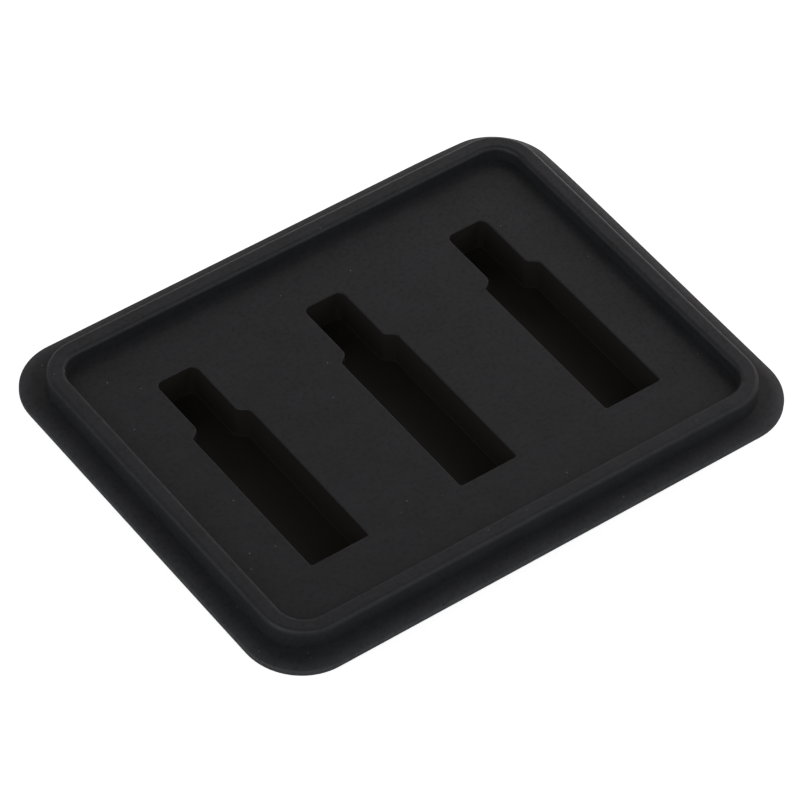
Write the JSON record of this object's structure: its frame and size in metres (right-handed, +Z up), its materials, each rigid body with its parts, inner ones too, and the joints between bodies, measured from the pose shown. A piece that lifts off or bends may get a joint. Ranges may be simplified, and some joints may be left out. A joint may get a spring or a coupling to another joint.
{
  "type": "pick holder",
  "caption": "Rectangular pick holder: a flanged soft rubber tray with a raised bead, a recessed panel and bottle-shaped pockets, closed from below by a stiff base plate with an adhesive pad.",
  "frame": {"origin": "centre of the face that the tray rests on, the underside of the adhesive pad", "axes": "+Z up out of the pockets; +X along the tray's long side, across the row of pockets; +Y towards the pocket necks"},
  "size_m": [0.0996, 0.0764, 0.0106],
  "materials": {
    "silicone_rubber": "matte black moulded silicone rubber with a fine blasted grain",
    "base_plastic": "matte black plastic sheet",
    "foam_tape": "closed-cell black foam tape"
  },
  "bodies": {
    "root": {"tray_moulding": "silicone_rubber", "base_plate": "base_plastic", "adhesive_pad": "foam_tape"}
  },
  "joints": []
}
